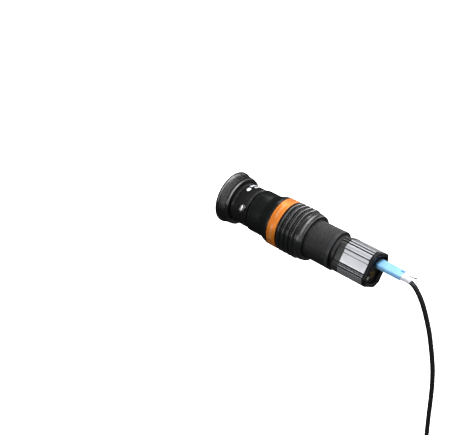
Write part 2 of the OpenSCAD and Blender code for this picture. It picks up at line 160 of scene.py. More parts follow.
def diamond_knurl(x0, x1, columns, pitch, depth):
    """A displacement that cuts crossed helical grooves between x0 and x1."""

    def displace(x, radius, turn):
        if not x0 <= x <= x1 or radius < displace.surface - 0.3:
            return radius
        along, around = (x - x0) / pitch, turn * columns
        fade = min(1, (x - x0) / 0.5, (x1 - x) / 0.5)
        ridge = abs(((along + around) % 1) - 0.5) * 2
        cross = abs(((along - around) % 1) - 0.5) * 2
        return radius - depth * fade * (1 - min(ridge, 1) * min(cross, 1))

    return displace


def extruded(name, outline, x0, x1, hole=None, bevel=0.12):
    """A Y-Z outline extruded along X, with an optional hole, and softened edges."""
    shape = bmesh.new()
    loops = [outline] + ([hole] if hole else [])
    edges = []
    for loop in loops:
        corners = [shape.verts.new((x0 * MM, y * MM, z * MM)) for y, z in loop]
        for i, corner in enumerate(corners):
            edges.append(shape.edges.new((corner, corners[(i + 1) % len(corners)])))
    cap = bmesh.ops.triangle_fill(shape, use_beauty=True, edges=edges)
    faces = [f for f in cap["geom"] if isinstance(f, bmesh.types.BMFace)]
    bmesh.ops.dissolve_limit(
        shape, angle_limit=0.01, verts=shape.verts[:], edges=shape.edges[:]
    )
    faces = shape.faces[:]
    moved = bmesh.ops.extrude_face_region(shape, geom=faces)
    lifted = [v for v in moved["geom"] if isinstance(v, bmesh.types.BMVert)]
    bmesh.ops.translate(shape, verts=lifted, vec=((x1 - x0) * MM, 0, 0))
    bmesh.ops.recalc_face_normals(shape, faces=shape.faces[:])
    mesh = bpy.data.meshes.new(name)
    shape.to_mesh(mesh)
    shape.free()
    piece = bpy.data.objects.new(name, mesh)
    bpy.context.scene.collection.objects.link(piece)
    if bevel:
        soften(piece, bevel)
    return piece


def soften(piece, width, segments=2, angle=40):
    """Rounds a mesh's sharp edges by a width in millimetres, and applies it."""
    rounding = piece.modifiers.new("rounding", "BEVEL")
    rounding.width = width * MM
    rounding.segments = segments
    rounding.limit_method = "ANGLE"
    rounding.angle_limit = math.radians(angle)
    rounding.use_clamp_overlap = True
    bpy.context.view_layer.update()
    evaluated = piece.evaluated_get(bpy.context.evaluated_depsgraph_get())
    mesh = bpy.data.meshes.new_from_object(evaluated)
    piece.modifiers.clear()
    piece.data = mesh
    mesh.shade_smooth()
    mesh.set_sharp_from_angle(angle=math.radians(50))


def box_piece(name, low, high, bevel=0.3):
    """A softened box between two corners in millimetres."""
    (x0, y0, z0), (x1, y1, z1) = low, high
    outline = [(y0, z0), (y1, z0), (y1, z1), (y0, z1)]
    return extruded(name, outline, x0, x1, bevel=bevel)


def rounded_rect(width, height, radius, steps=6, centre=(0, 0)):
    """A rounded rectangle's points, anticlockwise."""
    points = []
    for quarter, (sx, sy) in enumerate(((1, 1), (-1, 1), (-1, -1), (1, -1))):
        for k in range(steps + 1):
            angle = math.radians(90 * quarter + 90 * k / steps)
            points.append((
                centre[0] + sx * (width / 2 - radius) + radius * math.cos(angle),
                centre[1] + sy * (height / 2 - radius) + radius * math.sin(angle),
            ))
    return points


def loft(name, sections, smooth_angle=35):
    """Joins sections, each a list of 3-D points of one length, and caps both ends."""
    count = len(sections[0])
    verts = [p for section in sections for p in section]
    faces = []
    for s in range(len(sections) - 1):
        for i in range(count):
            a, b = s * count + i, s * count + (i + 1) % count
            faces.append((a, b, b + count, a + count))
    faces.append(tuple(range(count)))
    faces.append(tuple((len(sections) - 1) * count + i for i in range(count)))
    return mesh_object(name, verts, faces, smooth_angle)


def tube_loft(name, sections, smooth_angle=35):
    """Joins closed sections into a ring whose last section meets its first again."""
    count, total = len(sections[0]), len(sections)
    verts = [p for section in sections for p in section]
    faces = []
    for s in range(total):
        base, following = s * count, (s + 1) % total * count
        for i in range(count):
            j = (i + 1) % count
            faces.append((base + i, base + j, following + j, following + i))
    return mesh_object(name, verts, faces, smooth_angle)


def cut_away(piece, tool):
    """Cuts a tool's shape out of a piece, and deletes the tool."""
    cut = piece.modifiers.new("cut", "BOOLEAN")
    cut.object = tool
    cut.solver = "EXACT"
    bpy.context.view_layer.update()
    evaluated = piece.evaluated_get(bpy.context.evaluated_depsgraph_get())
    mesh = bpy.data.meshes.new_from_object(evaluated)
    piece.modifiers.clear()
    piece.data = mesh
    bpy.data.objects.remove(tool)


def on_frame(piece, body, slot, *nodes):
    """Rides the piece on its body and stands it for CAD nodes; the slot is not used."""
    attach(piece, body)
    if nodes:
        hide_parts(*nodes)
    return piece


# ---------------------------------------------------------------- materials


class Shader:
    """A small helper that builds one node-based material."""

    def __init__(self, name, **settings):
        self.material = bpy.data.materials.new(name)
        self.material.use_nodes = True
        self.nodes = self.material.node_tree.nodes
        self.links = self.material.node_tree.links
        self.surface = self.nodes["Principled BSDF"]
        for socket, value in settings.items():
            self.surface.inputs[socket.replace("_", " ")].default_value = value
        self.place = self.nodes.new("ShaderNodeTexCoord").outputs["Object"]

    def join(self, output, socket):
        self.links.new(output, socket)

    def stretched(self, scale):
        mapping = self.nodes.new("ShaderNodeMapping")
        mapping.inputs["Scale"].default_value = scale
        self.join(self.place, mapping.inputs["Vector"])
        return mapping.outputs["Vector"]

    def noise(self, scale, detail=3, roughness=0.55, stretch=None):
        texture = self.nodes.new("ShaderNodeTexNoise")
        texture.inputs["Scale"].default_value = scale
        texture.inputs["Detail"].default_value = detail
        texture.inputs["Roughness"].default_value = roughness
        vector = self.stretched(stretch) if stretch else self.place
        self.join(vector, texture.inputs["Vector"])
        return texture.outputs["Fac"]

    def ramp(self, value, stops):
        node = self.nodes.new("ShaderNodeValToRGB")
        ramp = node.color_ramp
        while len(ramp.elements) < len(stops):
            ramp.elements.new(0.5)
        for element, (position, colour) in zip(ramp.elements, stops):
            element.position = position
            element.color = (*colour, 1)
        self.join(value, node.inputs["Fac"])
        return node.outputs["Color"]

    def span(self, value, low, high, source=(0, 1)):
        node = self.nodes.new("ShaderNodeMapRange")
        node.inputs["From Min"].default_value = source[0]
        node.inputs["From Max"].default_value = source[1]
        node.inputs["To Min"].default_value = low
        node.inputs["To Max"].default_value = high
        self.join(value, node.inputs["Value"])
        return node.outputs["Result"]

    def math(self, operation, a, b=None):
        node = self.nodes.new("ShaderNodeMath")
        node.operation = operation
        for socket, value in zip(node.inputs, (a, b)):
            if value is None:
                continue
            if isinstance(value, (int, float)):
                socket.default_value = value
            else:
                self.join(value, socket)
        return node.outputs["Value"]

    def mix(self, factor, colour_a, colour_b):
        node = self.nodes.new("ShaderNodeMix")
        node.data_type = "RGBA"
        self.join(factor, node.inputs["Factor"])
        for socket, colour in (("A", colour_a), ("B", colour_b)):
            target = [i for i in node.inputs if i.name == socket and i.type == "RGBA"][0]
            if isinstance(colour, tuple):
                target.default_value = (*colour, 1)
            else:
                self.join(colour, target)
        return [o for o in node.outputs if o.type == "RGBA"][0]

    def colour(self, output):
        self.join(output, self.surface.inputs["Base Color"])

    def rough(self, output):
        self.join(output, self.surface.inputs["Roughness"])

    def bump(self, height, strength, distance):
        node = self.nodes.new("ShaderNodeBump")
        node.inputs["Strength"].default_value = strength
        node.inputs["Distance"].default_value = distance * MM
        self.join(height, node.inputs["Height"])
        self.join(node.outputs["Normal"], self.surface.inputs["Normal"])

    def axis_parts(self):
        """The distance along X and the angle phi over a full turn, from 0 to 1."""
        split = self.nodes.new("ShaderNodeSeparateXYZ")
        self.join(self.place, split.inputs["Vector"])
        minus_y = self.math("MULTIPLY", split.outputs["Y"], -1.0)
        turn = self.math("ARCTAN2", minus_y, split.outputs["Z"])
        turn = self.math("DIVIDE", turn, TAU)
        return split.outputs["X"], self.math("FRACT", self.math("ADD", turn, 1.0))


def scaled(colour, factor):
    return tuple(min(1, c * factor) for c in colour)


def moulded(name, colour, roughness, grain=1800, depth=0.03, **settings):
    """Moulded plastic or rubber with a fine skin texture."""
    shader = Shader(name, **settings)
    stops = [(0.25, scaled(colour, 0.88)), (0.75, scaled(colour, 1.1))]
    shader.colour(shader.ramp(shader.noise(90, 4), stops))
    shader.rough(shader.span(shader.noise(400, 3), roughness - 0.06, roughness + 0.08))
    shader.bump(shader.noise(grain, 3), 0.3, depth)
    return shader.material


def metal(name, colour, roughness, grain=3500, stretch=(1, 1, 1)):
    """Plain steel, brass or chrome with fine tool marks."""
    shader = Shader(name, Metallic=1.0)
    stops = [(0.3, scaled(colour, 0.85)), (0.7, scaled(colour, 1.08))]
    shader.colour(shader.ramp(shader.noise(150, 4), stops))
    shader.rough(shader.span(shader.noise(500, 3), roughness - 0.05, roughness + 0.09))
    shader.bump(shader.noise(grain, 2, stretch=stretch), 0.2, 0.015)
    return shader.material


def circuit_board():
    """Green solder mask with paler copper tracks under it."""
    shader = Shader("circuit_board", Roughness=0.35)
    tracks = shader.nodes.new("ShaderNodeTexBrick")
    tracks.inputs["Scale"].default_value = 260
    shader.join(shader.place, tracks.inputs["Vector"])
    tracks.inputs["Color1"].default_value = (0.012, 0.09, 0.035, 1)
    tracks.inputs["Color2"].default_value = (0.015, 0.12, 0.045, 1)
    tracks.inputs["Mortar"].default_value = (0.04, 0.22, 0.09, 1)
    tracks.inputs["Mortar Size"].default_value = 0.08
    shader.colour(tracks.outputs["Color"])
    shader.bump(tracks.outputs["Fac"], 0.3, 0.03)
    return shader.material


def glass(name, tint):
    """Coated optical glass with a faint smear in its polish."""
    shader = Shader(name, Transmission_Weight=1.0, IOR=1.52)
    stops = [(0.3, scaled(tint, 0.95)), (0.7, tint)]
    shader.colour(shader.ramp(shader.noise(70, 3), stops))
    shader.rough(shader.span(shader.noise(120, 3), 0.01, 0.06))
    return shader.material


def inside(shader, value, low, high):
    """One where a value lies between two numbers, else zero."""
    above = shader.math("GREATER_THAN", value, low)
    return shader.math("MULTIPLY", above, shader.math("LESS_THAN", value, high))


def finned_silver():
    """Silver anodised fins whose grooves are painted dark grey, as painted shade in the recesses."""
    shader = Shader("silver_anodised", Metallic=0.85)
    split = shader.nodes.new("ShaderNodeSeparateXYZ")
    shader.join(shader.place, split.inputs["Vector"])
    y, z = split.outputs["Y"], split.outputs["Z"]
    radius = shader.math("SQRT", shader.math("ADD", shader.math("MULTIPLY", y, y),
                                             shader.math("MULTIPLY", z, z)))
    turn = shader.math("ARCTAN2", shader.math("MULTIPLY", y, -1.0), z)
    quarters = shader.math("DIVIDE", shader.math("SUBTRACT", turn, math.radians(10)), TAU / 4)
    off_flat = shader.math("MULTIPLY", shader.math("SUBTRACT", shader.math("FRACT", quarters), 0.5),
                           TAU / 4)
    flat = shader.math("DIVIDE", 17.5 * MM, shader.math("COSINE", off_flat))
    skin = shader.math("MINIMUM", flat, 20.6 * MM)
    # Painted shade: the further a point sits below the outer skin, the closer its colour turns to
    # dark grey
    depth = shader.math("DIVIDE", shader.math("SUBTRACT", skin, radius), 0.5 * MM)
    shade = shader.span(depth, 0, 1, (0.25, 0.75))
    silver = shader.ramp(shader.noise(60, 4), [(0.3, (0.56, 0.57, 0.6)), (0.7, (0.62, 0.63, 0.66))])
    shader.colour(shader.mix(shade, silver, (0.03, 0.031, 0.034)))
    shader.rough(shader.span(shader.noise(220, 3), 0.26, 0.38))
    shader.bump(shader.noise(6000, 2, stretch=(0.02, 1, 1)), 0.2, 0.02)
    return shader.material


def trim_ring_material():
    """Orange anodised film with a generic row of pale index ticks round part of the band."""
    shader = Shader("orange_anodised", Metallic=0.4, Coat_Weight=0.15, Coat_Roughness=0.2)
    x, turn = shader.axis_parts()
    body = shader.ramp(
        shader.noise(80, 4), [(0.3, (0.74, 0.2, 0.012)), (0.7, (0.82, 0.24, 0.02))]
    )
    low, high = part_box("orange_trim_ring")
    middle = (low.x + high.x) / 2
    ticks = shader.math("FRACT", shader.math("MULTIPLY", turn, 80.0))
    marks = inside(shader, ticks, 0.36, 0.64)
    marks = shader.math("MULTIPLY", marks, inside(shader, x, middle - 0.001, middle + 0.001))
    zones = None
    for start in (0.02, 0.17, 0.52, 0.67):
        zone = inside(shader, turn, start, start + 0.1)
        zones = zone if zones is None else shader.math("ADD", zones, zone)
    shader.colour(shader.mix(shader.math("MULTIPLY", marks, zones), body, (0.85, 0.62, 0.42)))
    shader.rough(shader.span(shader.noise(260, 3), 0.3, 0.42))
    shader.bump(shader.noise(6000, 2, stretch=(1, 0.02, 0.02)), 0.2, 0.02)
    return shader.material


def printed_black():
    """The visual back's black film with a generic printed index: a dot and two bars."""
    shader = Shader("printed_black", Metallic=0.0, Specular_IOR_Level=0.35)
    x, turn = shader.axis_parts()
    shades = [(0.3, (0.008, 0.009, 0.008)), (0.7, (0.011, 0.012, 0.011))]
    film = shader.ramp(shader.noise(60, 4), shades)
    around = shader.math("FRACT", shader.math("ADD", turn, 0.5))
    dot_x = shader.math("DIVIDE", shader.math("SUBTRACT", x, 0.0235), 0.0021)
    dot_turn = shader.math("DIVIDE", shader.math("SUBTRACT", around, 0.515), 0.02)
    spread = shader.math("ADD", shader.math("POWER", shader.math("ABSOLUTE", dot_x), 2.0),
                         shader.math("POWER", shader.math("ABSOLUTE", dot_turn), 2.0))
    marks = shader.math("LESS_THAN", spread, 1.0)
    for x_low, start, end in ((0.0206, 0.385, 0.48), (0.0248, 0.37, 0.465)):
        bar = shader.math("MULTIPLY", inside(shader, x, x_low, x_low + 0.0022),
                          inside(shader, around, start, end))
        marks = shader.math("ADD", marks, bar)
    shader.colour(shader.mix(marks, film, (0.86, 0.88, 0.92)))
    shader.rough(shader.span(shader.noise(220, 3), 0.2, 0.32))
    shader.bump(shader.noise(6000, 2, stretch=(1, 0.02, 0.02)), 0.2, 0.02)
    return shader.material


def film(name, colour, roughness, specular=0.6, wear=0.15, turned=True):
    """Dark anodised film, which shines like lacquer rather than like bare metal."""
    shader = Shader(name, Metallic=0.0, Specular_IOR_Level=specular)
    stops = [(0.3, scaled(colour, 1 - wear)), (0.7, scaled(colour, 1 + wear))]
    shader.colour(shader.ramp(shader.noise(60, 4), stops))
    shader.rough(shader.span(shader.noise(220, 3), roughness - 0.05, roughness + 0.07))
    grain = shader.noise(6000, 2, stretch=(1, 0.02, 0.02) if turned else (1, 1, 1))
    shader.bump(grain, 0.08, 0.02)
    return shader.material


def adapter_grey():
    """Dark grey film on the knurl, with painted shade in its valleys; the neck behind it is painted
    nearly black, as painted shade in the gap between rim and housing.
    """
    shader = Shader("grey_anodised", Metallic=0.0, Specular_IOR_Level=0.4)
    x, _ = shader.axis_parts()
    shades = [(0.3, (0.024, 0.026, 0.027)), (0.7, (0.03, 0.032, 0.033))]
    grey = shader.ramp(shader.noise(60, 4), shades)
    split = shader.nodes.new("ShaderNodeSeparateXYZ")
    shader.join(shader.place, split.inputs["Vector"])
    y, z = split.outputs["Y"], split.outputs["Z"]
    radius = shader.math("SQRT", shader.math("ADD", shader.math("MULTIPLY", y, y),
                                             shader.math("MULTIPLY", z, z)))
    # Painted shade: below the knurl's crests the colour turns nearly black
    crest = shader.span(radius, 0, 1, (19.95 * MM, 20.15 * MM))
    grey = shader.mix(crest, (0.004, 0.004, 0.004), grey)
    # Painted shade: the recessed neck behind the rim is coloured nearly black
    neck = shader.math("GREATER_THAN", x, 0.1368)
    shader.colour(shader.mix(neck, grey, (0.004, 0.004, 0.004)))
    shader.rough(shader.span(shader.noise(220, 3), 0.3, 0.42))
    shader.bump(shader.noise(2600, 2), 0.2, 0.02)
    return shader.material


MATERIALS = {
    "black_anodised": film("black_anodised", (0.007, 0.008, 0.007), 0.18, 0.7),
    "printed_black": printed_black(),
    "barlow_black": film("barlow_black", (0.008, 0.009, 0.009), 0.26, 0.25),
    "barlow_gloss": film("barlow_gloss", (0.009, 0.01, 0.01), 0.2, 0.6),
    "grey_anodised": adapter_grey(),
    "front_grey": film("front_grey", (0.018, 0.019, 0.018), 0.34, 0.6),
    "silver_anodised": finned_silver(),
    "orange_anodised": trim_ring_material(),
    "chrome_nose": metal("chrome_nose", (0.6, 0.6, 0.62), 0.14, stretch=(1, 0.02, 0.02)),
    "steel": metal("steel", (0.42, 0.41, 0.4), 0.2),
    "brass": metal("brass", (0.62, 0.43, 0.18), 0.3),
    "rubber_black": moulded("rubber_black", (0.008, 0.009, 0.009), 0.12, depth=0.004,
                            Specular_IOR_Level=0.6),
    "lens_glass": glass("lens_glass", (0.82, 0.92, 0.9)),
    "circuit_board": circuit_board(),
    "black_plastic": moulded("black_plastic", (0.015, 0.015, 0.015), 0.36),
    "black_gloss": moulded("black_gloss", (0.008, 0.008, 0.009), 0.24, Specular_IOR_Level=0.15),
    "label_white": moulded("label_white", (0.56, 0.57, 0.61), 0.3, grain=900, depth=0.01,
                           Metallic=0.5),
    "lamp_lens": moulded("lamp_lens", (0.66, 0.72, 0.62), 0.2),
    "plug_blue": moulded("plug_blue", (0.27, 0.57, 0.9), 0.28, Subsurface_Weight=0.15,
                         Subsurface_Scale=0.002, Coat_Weight=0.3),
    "relief_white": moulded("relief_white", (0.72, 0.75, 0.79), 0.35),
    "strip_olive": moulded("strip_olive", (0.2, 0.2, 0.15), 0.35),
    "cord_black": moulded("cord_black", (0.01, 0.01, 0.011), 0.16, grain=1200, depth=0.006,
                          Specular_IOR_Level=0.8),
    "usb_blue": moulded("usb_blue", (0.02, 0.12, 0.55), 0.4),
}


def paint(piece, finish):
    """Gives a piece one of the materials, in place of whatever it has."""
    piece.data.materials.clear()
    piece.data.materials.append(MATERIALS[finish])
    return piece


SLOTS = {s["node"]: s["material_slot"] for s in frame["record"]["subparts"]}


def finish_cad_nodes():
    """Every CAD node gets its slot's material."""
    for node, piece in frame["nodes"].items():
        paint(piece, SLOTS[node])


finish_cad_nodes()


def place(piece, body, finish, *nodes):
    """Paints a piece, rides it, and stands it for CAD nodes."""
    return on_frame(paint(piece, finish), body, SLOTS[nodes[0]], *nodes)


# ---------------------------------------------------------------- cord

CORD_D = 4.8
LEAD = [
    (212.4, 6, 1.2), (216.2, 6, -0.8), (219.6, 6, -4), (224.6, 6, -10.4), (229, 6, -18),
    (232.8, 6, -26.4), (236.4, 6, -35.4), (240.6, 6, -47), (244.4, 6, -60.4), (248.2, 6, -75),
    (251.4, 6, -90), (253.8, 6, -107), (255.6, 6, -126), (257, 6, -146), (258.6, 6, -166),
    (260, 6, -184), (259.6, 6, -196), (256.6, 6, -206), (251.4, 6, -213.6), (245, 6, -218.6),
]
TAIL = [(228.8, 6, -252), (228.8, 6, -260.5)]
COIL = Vector((260, 6, -242))
COIL_R = 27
COIL_ROW = 4.2
# Each turn's (row, column) in the bundle; rows step outwards, columns along Y
TURNS = [
    (0, 0), (-1, -0.5), (-1, 0.5), (-1, 1.5), (0, 2),
    (0, 1), (0, -1), (1, -1.5), (1, -0.5), (1, 0.5),
]


def smooth_route(points, per_span=4):
    """Catmull-Rom points through a route."""
    route = [Vector(p) for p in points]
    route = [2 * route[0] - route[1]] + route + [2 * route[-1] - route[-2]]
    result = []
    for i in range(1, len(route) - 2):
        a, b, c, d = route[i - 1:i + 3]
        for k in range(per_span):
            t = k / per_span
            result.append(0.5 * (
                2 * b + (c - a) * t + (2 * a - 5 * b + 4 * c - d) * t**2
                + (3 * b - a - 3 * c + d) * t**3
            ))
    result.append(route[-2])
    return result


def coil_points(start_angle, end_angle, per_turn=40):
    """The stored turns: one circle each, with a smooth step to the next over its last part."""
    total = end_angle - start_angle
    steps = round(per_turn * total / 360)
    points = []
    for k in range(steps + 1):
        turn = k / steps * len(TURNS)
        now = min(int(turn), len(TURNS) - 1)
        after = min(now + 1, len(TURNS) - 1)
        blend = max(0, (turn - now - 0.75) / 0.25) if turn < len(TURNS) else 1
        blend = blend * blend * (3 - 2 * blend)
        row = TURNS[now][0] * (1 - blend) + TURNS[after][0] * blend
        column = TURNS[now][1] * (1 - blend) + TURNS[after][1] * blend
        angle = math.radians(start_angle + total * k / steps)
        radius = COIL_R + COIL_ROW * row
        points.append(COIL + Vector((
            radius * math.cos(angle), column * CORD_D, radius * math.sin(angle)
        )))
    return points


def make_cord():
    turns = coil_points(135, 135 + 360 * 10 + 45)
    points = smooth_route(LEAD) + turns[1:] + smooth_route(TAIL, 3)
    data = bpy.data.curves.new("usb_cord", "CURVE")
    data.dimensions = "3D"
    data.bevel_depth = CORD_D / 2 * MM
    data.bevel_resolution = 5
    data.use_fill_caps = True
    line = data.splines.new("POLY")
    line.points.add(len(points) - 1)
    for target, point in zip(line.points, points):
        target.co = (*(point * MM), 1)
    piece = bpy.data.objects.new("usb_cord", data)
    bpy.context.scene.collection.objects.link(piece)
    return place(piece, "usb_lead", "cord_black", "cord_lead", "cord_coil", "cord_tail")


cord = make_cord()

# ---------------------------------------------------------------- visual back

KNOB_R = 4
KNOB_H = 5.2
KNOB_FLUTES = 20
NOSE_BORE_R = 15.925
BACK_SCREW = (30.5, 62.5, 21.5)
HOLDER_SCREW = (103, 225, 25)


def make_ring():
    """The coupling ring: rear flange, a bright bevel, a knurled band and a tapered front lip."""
    band = spaced(3.8, 11.6, 0.26)
    outer = [(0, 27.9), (0.3, 28.2), (1.7, 28.2), (3.7, 27.5), (3.8, 27)]
    outer += [(x, 27 - 0.8 * (x - 3.8) / 7.8) for x in band]
    outer += [(11.6, 26.2), (12.3, 26.1), (14.2, 25.5), (14.6, 25.1)]
    inner = [(14.6, 21.6), (12.2, 21.6), (12.2, 25.5), (8, 25.5), (8, 25), (0, 25)]
    knurl = diamond_knurl(4, 11.4, 116, 1.45, 0.3)
    knurl.surface = 26.4
    piece = lathe("coupling_ring_knurled", outer + inner, 696, 0.12, knurl)
    place(piece, "ring", "black_anodised", "coupling_ring")


def make_visual_back():
    profile = [
        (8.3, 15.925), (8.3, 24.4), (11.9, 24.4), (11.9, 21.5), (17.2, 21.5), (17.5, 21.2),
        (18.1, 21.2), (18.4, 21.5), (33.6, 21.5), (33.9, 21.1), (34.3, 21.1), (35, 20.6),
        (35, 16.7), (34.3, NOSE_BORE_R), (33, NOSE_BORE_R), (33, 17.1), (28, 17.1),
        (28, NOSE_BORE_R),
    ]
    piece = lathe("visual_back_tube", profile, 160, 0.2)
    place(piece, "visual_back", "printed_black", "visual_back_body")


def make_knob(name, station, body, node):
    """A fluted thumbscrew head with a domed end, standing out from the train's side."""
    x, phi, wall = station
    base = wall + 1.1
    profile = [
        (base, 1.62), (base, KNOB_R - 0.5), (base + 0.35, KNOB_R), (base + 0.7, KNOB_R),
        (base + 3.3, KNOB_R), (base + 3.7, KNOB_R), (base + 4.3, KNOB_R - 0.45),
        (base + 4.8, KNOB_R - 1.4), (base + 5.1, KNOB_R - 2.6), (base + KNOB_H, 0),
        (base + 3.3, 0), (base + 3.3, 1.62),
    ]

    def flutes(height, radius, turn):
        if not base + 0.6 < height < base + 3.5 or radius < KNOB_R - 0.1:
            return radius
        return radius - 0.3 * (0.5 + 0.5 * math.cos(TAU * turn * KNOB_FLUTES)) ** 2

    angle = math.radians(phi)
    out = Vector((0, -math.sin(angle), math.cos(angle)))
    along = Vector((1, 0, 0))
    frame_of_knob = Matrix((out, along.cross(out), along)).transposed().to_4x4()
    frame_of_knob.translation = Vector((x, 0, 0))
    piece = lathe(name, profile, KNOB_FLUTES * 8, 0.12, flutes, frame_of_knob)
    place(piece, body, "steel", node)


# ---------------------------------------------------------------- Barlow lens


def make_barlow_body():
    flare = []
    for k in range(13):
        t = k / 12
        flare.append((52 + 12.5 * t, 22.7 + 3.3 * (1 - math.cos(math.pi * t)) / 2))
    profile = [(37, 14.05), (37, 22.1), (37.5, 22.7)] + flare
    profile += [
        (66.35, 26), (66.35, 25.2), (76.9, 25.2), (76.9, 23.5), (99.4, 23.5), (99.4, 19),
        (43.2, 19), (43.2, 14.05),
    ]
    piece = lathe("barlow_barrel", profile, 160, 0.2)
    place(piece, "barlow", "barlow_black", "barlow_body")


def make_trim_ring():
    profile = [
        (66.42, 25.25), (66.42, 25.8), (66.8, 26.1), (67.7, 26.1), (67.85, 25.98),
        (68.0, 26.1), (75.2, 26.1), (75.35, 25.98), (75.5, 26.1), (76.4, 26.1), (76.88, 25.8),
        (76.88, 25.25),
    ]
    piece = lathe("trim_ring", profile, 160, 0.12)
    place(piece, "barlow", "orange_anodised", "orange_trim_ring")


def make_grip():
    """Four rounded rubber ridges with deep valleys between them."""
    start, pitch, ridges = 77.2, 5.5, 4
    valley, crest = 24.3, 26.4
    ridge = [(0.04, 0), (0.12, 0.3), (0.22, 0.74), (0.32, 0.94), (0.42, 1), (0.54, 0.96),
             (0.66, 0.83), (0.78, 0.66), (0.86, 0.3), (0.93, 0)]
    outer = [(76.92, 25.2), (77.1, 25.2)]
    for n in range(ridges):
        for along, height in ridge:
            outer.append((start + (n + along) * pitch, valley + (crest - valley) * height))
    outer += [(99.3, valley), (99.36, 24.2), (99.36, 23.55), (76.92, 23.55)]
    piece = lathe("ribbed_grip", outer, 160, 0.3)
    place(piece, "barlow", "rubber_black", "rubber_grip")


def make_collar():
    profile = [
        (92, NOSE_BORE_R), (92, 18.95), (99.44, 18.95), (99.44, 24.5), (99.9, 25.1),
        (103, 25), (104.8, 24.4), (107.2, 24.1), (107.8, 23.8), (108, 23.3), (108, 20.9),
        (106, 20.9), (106, NOSE_BORE_R), (105.5, NOSE_BORE_R), (105.5, 17.1), (100.5, 17.1),
        (100.5, NOSE_BORE_R),
    ]
    piece = lathe("holder_mouth", profile, 160, 0.25)
    place(piece, "barlow", "barlow_gloss", "holder_collar")


# ---------------------------------------------------------------- camera

SIDE_PHI = 55
FLAT_R = 17.5
CORNER_R = 20.6
DEEP_GROOVES = (4, 13, 75, 85)
FINE_GROOVES = (-20, -15, -10, -5, 30, 80)
HAIRLINE = 42.5


def make_adapter():
    """The knurled 1.25 inch adapter, its plain rim, its neck and its C thread."""
    band = spaced(107.4, 133.4, 0.26)
    outer = [(106.1, 14.05), (106.1, 19.8), (106.6, 20.3), (107.4, 20.3)]
    outer += [(x, 20.3) for x in band]
    outer += [
        (133.4, 20.3), (134.4, 20.3), (134.5, 20.05), (134.8, 20.05), (134.9, 20.3),
        (136.8, 20.3), (137.3, 19.8), (137.3, 17.5), (141, 17.5), (141, 12.7), (144.9, 12.7),
        (144.9, 11.2), (131, 11.2), (131, 12.6), (112.2, 12.6), (112.2, 14.05),
    ]
    knurl = diamond_knurl(107.4, 133.4, 64, 2.0, 0.5)
    knurl.surface = 20.3
    piece = lathe("knurled_barrel", outer, 672, 0.1, knurl)
    place(piece, "camera", "grey_anodised", "knurled_adapter")


def side_r(phi, flat=FLAT_R, corner=CORNER_R):
    """How far the housing's rounded square stands from the axis at angle phi."""
    turn = (phi - SIDE_PHI + 45) % 90 - 45
    return min(corner, flat / math.cos(math.radians(turn)))


def polar(phi, radius):
    angle = math.radians(phi)
    return (-radius * math.sin(angle), radius * math.cos(angle))


def grooved_outline():
    """The fins' outline as (phi, radius) pairs; each half repeats after a half turn."""
    cuts = [(phi, 1.5, 1.7) for phi in DEEP_GROOVES] + [(phi, 1.1, 0.85) for phi in FINE_GROOVES]
    cuts = [(phi + half, wide, deep) for phi, wide, deep in cuts + [(HAIRLINE, 0.6, 0.35)]
            for half in (0, 180)]
    marks = []
    for phi, wide, deep in cuts:
        spread = math.degrees(math.atan(wide / 2 / side_r(phi)))
        for turn, depth in ((-1.3, 0), (-1.06, 0.06), (-0.86, deep), (0, deep), (0.86, deep),
                            (1.06, 0.06), (1.3, 0)):
            marks.append((phi + turn * spread, side_r(phi + turn * spread) - depth))
    for k in range(120):
        phi = 3 * k + 0.5
        clear = [abs((phi - cut + 180) % 360 - 180) > 2.6 for cut, _, _ in cuts]
        if all(clear):
            marks.append((phi, side_r(phi)))
    return sorted((phi % 360, radius) for phi, radius in marks)


def shell(name, steps, inner_steps, outline):
    """A hollow shell along X: outer (x, scale) steps out, then inner (x, radius rule) back."""
    sections = [[(x, *polar(phi, r * grow)) for phi, r in outline] for x, grow in steps]
    sections += [[(x, *polar(phi, rule(phi))) for phi, _ in outline] for x, rule in inner_steps]
    return tube_loft(name, sections, 28)


def make_front_housing():
    """The black front part, with the same fins and a rounded leading edge."""
    steps = [(141.02, 0.9), (141.3, 0.945), (141.9, 0.98), (142.7, 0.995), (143.6, 1),
             (148.8, 1), (148.98, 0.992)]
    bore = [(148.98, lambda phi: 12.75), (141.02, lambda phi: 12.75)]
    piece = shell("front_shell", steps, bore, grooved_outline())
    place(piece, "camera", "front_grey", "front_housing")


def make_housing():
    def cavity(phi):
        return side_r(phi, 13.7, 17)

    steps = [(149.02, 0.992), (149.2, 1), (176.3, 1), (176.48, 0.992)]
    inner = [(176.48, cavity), (149.02, cavity)]
    piece = shell("finned_shell", steps, inner, grooved_outline())
    place(piece, "camera", "silver_anodised", "finned_housing")


def make_label():
    """A blank plate with a thin raised border, sunk in the housing's side."""
    low, wide, start, long = -5.2, 8, 150.6, 24.3
    angle = math.radians(SIDE_PHI)
    along = Vector((1, 0, 0))
    across = Vector((0, math.cos(angle), math.sin(angle)))
    out = Vector((0, -math.sin(angle), math.cos(angle)))
    sections = []
    for shrink, height in ((0.1, 17.18), (0, 17.24), (0, 17.4), (0.12, 17.46), (0.5, 17.46),
                           (0.6, 17.4), (1.2, 17.4)):
        outline = rounded_rect(long - 2 * shrink, wide - 2 * shrink, 0.8 - 0.3 * shrink)
        centre = along * (start + long / 2) + across * (low + wide / 2)
        sections.append([centre + along * x + across * y + out * height for x, y in outline])
    piece = loft("blank_label", sections, 30)
    place(piece, "camera", "label_white", "label_plate")


